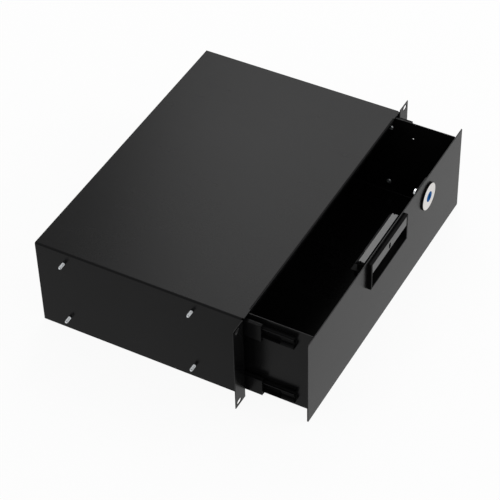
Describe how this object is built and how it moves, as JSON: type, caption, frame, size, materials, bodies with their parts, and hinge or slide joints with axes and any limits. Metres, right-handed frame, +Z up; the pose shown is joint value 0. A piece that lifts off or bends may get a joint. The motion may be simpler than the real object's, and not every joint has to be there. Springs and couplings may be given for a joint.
{
  "type": "sliding rack drawer",
  "caption": "Three-unit rack drawer: a folded steel tray on ball-bearing slides in a slotted-ear case, with a recessed latch handle and a cam lock.",
  "frame": {"origin": "centre of the pattern of four rack slots, on the rear plane of the ears that bears on the rack", "axes": "+X to the operator's right, +Y from the front to the back of the rack, +Z up; the drawer opens along -Y"},
  "size_m": [0.4826, 0.3863, 0.1324],
  "materials": {
    "black_powder_coat": "satin black powder coat on folded steel sheet",
    "black_plastic": "fine-textured black moulding",
    "black_zinc_steel": "black passivated rolled steel",
    "bright_zinc_steel": "bright zinc plate",
    "polished_steel": "polished steel",
    "plain_steel": "cold-rolled strip",
    "chrome_lock": "chrome plate",
    "white_face": "smooth pale plastic ring",
    "blue_plug": "blue lock plug"
  },
  "bodies": {
    "case": {"case_shell": "black_powder_coat", "rear_panel": "black_powder_coat", "rear_panel_screws": "bright_zinc_steel", "lock_strike": "black_powder_coat", "case_slide_screws": "bright_zinc_steel", "case_member_left_upper": "black_zinc_steel", "case_member_left_lower": "black_zinc_steel", "case_member_right_upper": "black_zinc_steel", "case_member_right_lower": "black_zinc_steel"},
    "drawer": {"drawer_tray": "black_powder_coat", "front_panel": "black_powder_coat", "panel_studs": "bright_zinc_steel", "panel_nuts": "bright_zinc_steel", "tray_slide_screws": "bright_zinc_steel", "drawer_member_left_upper": "black_zinc_steel", "drawer_member_left_lower": "black_zinc_steel", "drawer_member_right_upper": "black_zinc_steel", "drawer_member_right_lower": "black_zinc_steel", "detent_bumpers": "black_plastic", "lever_pins": "polished_steel", "handle_housing": "black_plastic", "handle_clamps": "bright_zinc_steel", "clamp_screws": "bright_zinc_steel", "paddle_pin": "polished_steel", "latch_springs": "polished_steel", "lock_collar": "black_plastic", "lock_face": "white_face", "lock_barrel": "chrome_lock", "lock_nut": "chrome_lock"},
    "middle_left_upper": {"middle_member_left_upper": "black_zinc_steel"},
    "outer_balls_left_upper": {"outer_retainer_left_upper": "plain_steel", "outer_balls_left_upper": "polished_steel"},
    "inner_balls_left_upper": {"inner_retainer_left_upper": "plain_steel", "inner_balls_left_upper": "polished_steel"},
    "lever_left_upper": {"release_lever_left_upper": "black_plastic"},
    "middle_left_lower": {"middle_member_left_lower": "black_zinc_steel"},
    "outer_balls_left_lower": {"outer_retainer_left_lower": "plain_steel", "outer_balls_left_lower": "polished_steel"},
    "inner_balls_left_lower": {"inner_retainer_left_lower": "plain_steel", "inner_balls_left_lower": "polished_steel"},
    "lever_left_lower": {"release_lever_left_lower": "black_plastic"},
    "middle_right_upper": {"middle_member_right_upper": "black_zinc_steel"},
    "outer_balls_right_upper": {"outer_retainer_right_upper": "plain_steel", "outer_balls_right_upper": "polished_steel"},
    "inner_balls_right_upper": {"inner_retainer_right_upper": "plain_steel", "inner_balls_right_upper": "polished_steel"},
    "lever_right_upper": {"release_lever_right_upper": "black_plastic"},
    "middle_right_lower": {"middle_member_right_lower": "black_zinc_steel"},
    "outer_balls_right_lower": {"outer_retainer_right_lower": "plain_steel", "outer_balls_right_lower": "polished_steel"},
    "inner_balls_right_lower": {"inner_retainer_right_lower": "plain_steel", "inner_balls_right_lower": "polished_steel"},
    "lever_right_lower": {"release_lever_right_lower": "black_plastic"},
    "paddle": {"handle_paddle": "black_plastic"},
    "tongue": {"latch_tongue": "black_plastic", "latch_pins": "polished_steel"},
    "lock_core": {"lock_plug": "blue_plug", "lock_cam": "bright_zinc_steel", "cam_washer": "bright_zinc_steel", "cam_screw": "bright_zinc_steel"}
  },
  "joints": [
    {"name": "drawer_slide", "type": "slide", "parent": "case", "child": "drawer", "axis": [0, -1, 0], "range_m": [-0.0855, 0.1645]},
    {"name": "middle_slide_left_upper", "type": "slide", "parent": "case", "child": "middle_left_upper", "axis": [0, -1, 0], "range_m": [-0.0428, 0.0823]},
    {"name": "outer_balls_slide_left_upper", "type": "slide", "parent": "case", "child": "outer_balls_left_upper", "axis": [0, -1, 0], "range_m": [-0.02142, 0.04118]},
    {"name": "inner_balls_slide_left_upper", "type": "slide", "parent": "case", "child": "inner_balls_left_upper", "axis": [0, -1, 0], "range_m": [-0.06417, 0.12343]},
    {"name": "middle_slide_left_lower", "type": "slide", "parent": "case", "child": "middle_left_lower", "axis": [0, -1, 0], "range_m": [-0.0428, 0.0823]},
    {"name": "outer_balls_slide_left_lower", "type": "slide", "parent": "case", "child": "outer_balls_left_lower", "axis": [0, -1, 0], "range_m": [-0.02142, 0.04118]},
    {"name": "inner_balls_slide_left_lower", "type": "slide", "parent": "case", "child": "inner_balls_left_lower", "axis": [0, -1, 0], "range_m": [-0.06417, 0.12343]},
    {"name": "middle_slide_right_upper", "type": "slide", "parent": "case", "child": "middle_right_upper", "axis": [0, -1, 0], "range_m": [-0.0428, 0.0823]},
    {"name": "outer_balls_slide_right_upper", "type": "slide", "parent": "case", "child": "outer_balls_right_upper", "axis": [0, -1, 0], "range_m": [-0.02142, 0.04118]},
    {"name": "inner_balls_slide_right_upper", "type": "slide", "parent": "case", "child": "inner_balls_right_upper", "axis": [0, -1, 0], "range_m": [-0.06417, 0.12343]},
    {"name": "middle_slide_right_lower", "type": "slide", "parent": "case", "child": "middle_right_lower", "axis": [0, -1, 0], "range_m": [-0.0428, 0.0823]},
    {"name": "outer_balls_slide_right_lower", "type": "slide", "parent": "case", "child": "outer_balls_right_lower", "axis": [0, -1, 0], "range_m": [-0.02142, 0.04118]},
    {"name": "inner_balls_slide_right_lower", "type": "slide", "parent": "case", "child": "inner_balls_right_lower", "axis": [0, -1, 0], "range_m": [-0.06417, 0.12343]},
    {"name": "tongue_slide", "type": "slide", "parent": "drawer", "child": "tongue", "axis": [0, 0, -1], "range_m": [0, 0.0052], "stiffness_N_per_m": 40, "springref_m": -0.004, "deforming": ["latch_springs"]},
    {"name": "paddle_pull", "type": "hinge", "parent": "drawer", "child": "paddle", "pos_m": [-0.0086, -0.091, 0.0574], "axis": [-1, 0, 0], "range_deg": [0, 22.3]},
    {"name": "lock_turn", "type": "hinge", "parent": "drawer", "child": "lock_core", "pos_m": [0.1145, -0.0888, 0.033], "axis": [0, -1, 0], "range_deg": [0, 90]},
    {"name": "lever_pivot_left_upper", "type": "hinge", "parent": "drawer", "child": "lever_left_upper", "pos_m": [-0.2068, 0.0808, 0.047], "axis": [1, 0, 0], "range_deg": [-6, 6], "stiffness_Nm_per_rad": 0.002},
    {"name": "lever_pivot_left_lower", "type": "hinge", "parent": "drawer", "child": "lever_left_lower", "pos_m": [-0.2068, 0.0808, -0.047], "axis": [1, 0, 0], "range_deg": [-6, 6], "stiffness_Nm_per_rad": 0.002},
    {"name": "lever_pivot_right_upper", "type": "hinge", "parent": "drawer", "child": "lever_right_upper", "pos_m": [0.2068, 0.0808, 0.047], "axis": [1, 0, 0], "range_deg": [-6, 6], "stiffness_Nm_per_rad": 0.002},
    {"name": "lever_pivot_right_lower", "type": "hinge", "parent": "drawer", "child": "lever_right_lower", "pos_m": [0.2068, 0.0808, -0.047], "axis": [1, 0, 0], "range_deg": [-6, 6], "stiffness_Nm_per_rad": 0.002}
  ],
  "couplings": [
    {"joint": "middle_slide_left_upper", "follows": "drawer_slide", "ratio": 0.5},
    {"joint": "outer_balls_slide_left_upper", "follows": "drawer_slide", "ratio": 0.25},
    {"joint": "inner_balls_slide_left_upper", "follows": "drawer_slide", "ratio": 0.75},
    {"joint": "middle_slide_left_lower", "follows": "drawer_slide", "ratio": 0.5},
    {"joint": "outer_balls_slide_left_lower", "follows": "drawer_slide", "ratio": 0.25},
    {"joint": "inner_balls_slide_left_lower", "follows": "drawer_slide", "ratio": 0.75},
    {"joint": "middle_slide_right_upper", "follows": "drawer_slide", "ratio": 0.5},
    {"joint": "outer_balls_slide_right_upper", "follows": "drawer_slide", "ratio": 0.25},
    {"joint": "inner_balls_slide_right_upper", "follows": "drawer_slide", "ratio": 0.75},
    {"joint": "middle_slide_right_lower", "follows": "drawer_slide", "ratio": 0.5},
    {"joint": "outer_balls_slide_right_lower", "follows": "drawer_slide", "ratio": 0.25},
    {"joint": "inner_balls_slide_right_lower", "follows": "drawer_slide", "ratio": 0.75},
    {"joint": "paddle_pull", "follows": "tongue_slide", "rad_per_m": 74.8}
  ]
}
